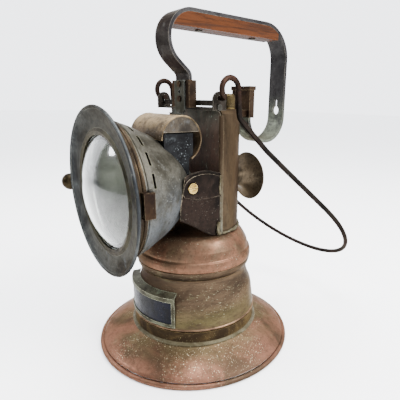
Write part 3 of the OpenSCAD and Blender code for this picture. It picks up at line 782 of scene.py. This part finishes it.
# ---- The bail bar and the handle's sockets ----
# A folded steel bar with an ear at each end is riveted over the tank. Two
# brown brass sheaths take the ends of the handle, and a pale steel tongue is
# riveted down the front of the first.
bar_steel = aged_metal(
    "bar_steel", tone(36, 32, 28), tone(19, 16, 13), tone(55, 50, 45), tone(74, 71, 66),
    metal=0.6, rough=(0.38, 0.6), patch=60, specks=0.3, worn=tone(77, 74, 66),
)
dress(bar_steel, "bail_bar")
bevelled("bail_bar", 0.0003)
socket_brass = aged_metal(
    "socket_brass", tone(44, 34, 26), tone(26, 20, 16), tone(54, 47, 36), tone(74, 68, 54),
    metal=0.88, rough=(0.36, 0.56), patch=60, specks=0.2, worn=tone(98, 84, 64),
)
dress(socket_brass, "socket_front", "socket_rear")
bevelled("socket_front", 0.0005)
bevelled("socket_rear", 0.0005)
pale_steel = aged_metal(
    "pale_steel", tone(54, 53, 48), tone(34, 35, 28), tone(80, 82, 78), tone(96, 101, 98),
    metal=0.7, rough=(0.34, 0.55), patch=80, specks=0.3, worn=tone(107, 110, 107),
)
dress(pale_steel, "socket_tongue")
bevelled("socket_tongue", 0.0003)
rivet_copper = aged_metal(
    "rivet_copper", tone(45, 36, 28), tone(29, 23, 18), tone(60, 54, 45), tone(77, 77, 69),
    metal=0.85, rough=(0.26, 0.42), patch=140, specks=0.3, worn=tone(80, 70, 57),
)
dress(rivet_copper, "tongue_rivets")
for rivets in ("tongue_rivets", "bar_rivets", "grip_rivets"):
    bevelled(rivets, 0.0006, 3)


# ---- The handle ----
# One flat iron strap, bent cold: up from the front socket, over the grip,
# and down into a curl that ends in the rear socket. It is black, with a
# green-white bloom low down on the curl. A keyhole hangs it on a nail.
strap_iron = aged_metal(
    "strap_iron", tone(45, 44, 44), tone(28, 27, 28), tone(58, 57, 55), tone(85, 83, 77),
    metal=0.92, rough=(0.36, 0.56), patch=26, specks=0.3, worn=tone(89, 84, 77), pits=0.0003,
    zone=(2, 0.2, 0.172, tone(94, 98, 86), 0.75),
)
softly("strap")
dress(strap_iron, "strap")
bevelled("strap", 0.0005, 3)

# The grip is one slip of dark stained wood, its arrises worn, riveted under
# the strap; its grain runs along it.
grip_wood = Recipe("grip_wood")
along_grain = grip_wood.stretched(1.0, 0.09, 1.0)
fibre = grip_wood.cloud(560, 6, 0.6, along_grain, 0.4)
bands = grip_wood.cloud(120, 4, 0.55, along_grain, 1.2)
wood_tone = grip_wood.over(tone(58, 28, 7), tone(38, 18, 6), grip_wood.steps(bands, 0.4, 0.62))
pores = grip_wood.times(grip_wood.steps(fibre, 0.52, 0.68), 0.6)
wood_tone = grip_wood.over(wood_tone, tone(24, 12, 6), pores)
grime = grip_wood.steps(grip_wood.cloud(45, 6, 0.7), 0.52, 0.7)
wood_tone = grip_wood.over(wood_tone, tone(26, 16, 10), grip_wood.times(grime, 0.6))
wood_tone = grip_wood.over(wood_tone, tone(82, 42, 15), grip_wood.times(grip_wood.edges(0.0012), 0.5))
grip_wood.bumps(grip_wood.plus(fibre, grip_wood.times(bands, 0.5)), 0.0003, 0.5)
grip_wood.shader.inputs["IOR"].default_value = 1.15
dress(grip_wood.finish(wood_tone, grip_wood.steps(fibre, 0.3, 0.7, 0.55, 0.75), 0.0), "grip")
bevelled("grip", 0.0016, 4)
softly("grip")


# ---- The valve knob and the filler cap ----
# The water valve is turned by a hollow brass trumpet at the back of the tank.
# A small knurled cap closes the filler.
knob_brass = aged_metal(
    "knob_brass", tone(65, 56, 44), tone(30, 25, 18), tone(78, 70, 57), tone(106, 100, 84),
    metal=0.75, rough=(0.34, 0.54), patch=38, specks=0.3, worn=tone(102, 90, 70),
)
valve_height = 130.5


def valve_axis(r, h, a):
    """Where a radius, a reach to the back and an angle lie about the valve's level axis."""
    return (r * math.cos(a) / 1000, h / 1000, (valve_height + r * math.sin(a)) / 1000)


trumpet = smooth_line([
    (6.3, 38), (6.5, 42), (7.2, 46), (9.2, 50), (12.4, 53.2), (16.2, 55.5), (19.6, 56.7), (20.38, 57.1)
], 5)
add_piece("valve_trumpet", *turned(sheet_section(trumpet, 1.2), valve_axis, 96), "knob", knob_brass,
          ["valve_knob"], slot="knob_brass")
hub = [(3.05, 37.95), (6.2, 37.95), (6.2, 41.6), (5.6, 42.2), (3.05, 42.2)]
add_piece("valve_hub", *turned(hub, valve_axis, 64), "knob", knob_brass, slot="knob_brass")
dress(knob_brass, "knob_cap")
bevelled("knob_cap", 0.0004)
cap_brass = aged_metal(
    "cap_brass", tone(55, 46, 28), tone(33, 26, 17), tone(73, 66, 48), tone(97, 92, 73),
    metal=0.8, rough=(0.3, 0.5), patch=110, specks=0.4, worn=tone(92, 80, 54),
)
dress(cap_brass, "filler_cap")


# ---- The bail ----
# One length of steel wire, bent by hand: an eye over each ear, two legs that
# spread, and a wide round loop behind the lamp. It is rusty brown.
bail_rust = aged_metal(
    "bail_rust", tone(28, 23, 20), tone(16, 14, 13), tone(42, 34, 28), tone(58, 51, 44),
    metal=0.88, rough=(0.36, 0.58), patch=60, specks=0.4, worn=tone(56, 48, 40),
    zone=(2, 0.186, 0.203, tone(48, 32, 25), 0.6),
)
pin_y, pin_z = -2.7, 194.4
eye_y, eye_z = 1.5, 200
bail_lean = math.radians(45)
loop_r, loop_reach = 73, 140
leg = ((42.4, 22), (44.2, 37), (46.0, 49), (47.6, 55), (54, 74), (61.5, 95))


def in_bail(x, s):
    """A point of the leaning plane of the loop: x across, s down it from the pin, in mm."""
    return (x, pin_y + s * math.sin(bail_lean), pin_z - s * math.cos(bail_lean))


def half_bail(side):
    """The middle line of one half: the end in the ear, the eye, the leg, and half the loop."""
    eye_r = math.hypot(eye_y - pin_y, eye_z - pin_z)
    line = [(side * x, pin_y, pin_z) for x in (33.9, 35.5, 37.5, 39.2)]
    line.append((side * 41.0, -3.0, 194.7))
    for k in range(19):
        a = math.radians(222 - 12.33 * k)
        line.append((side * 42, eye_y + eye_r * math.cos(a), eye_z + eye_r * math.sin(a)))
    line += [(side * 42, 8.7, 196), (side * 42, 9.2, 189), (side * 42.1, 9.9, 182.6)]
    line += [in_bail(side * x, s) for x, s in leg]
    for k in range(34):
        a = math.radians(-19.3 + 3.31 * k)
        line.append(in_bail(side * loop_r * math.cos(a), loop_reach + loop_r * math.sin(a)))
    return line


right_half = half_bail(1)
whole = right_half[:-1] + [in_bail(0, loop_reach + loop_r)] + half_bail(-1)[:-1][::-1]
add_piece("bail_wire", *swept(smooth_line(whole, 3), 1.88, 16, 0.04), "bail", bail_rust, ["bail"],
          slot="bail_wire")
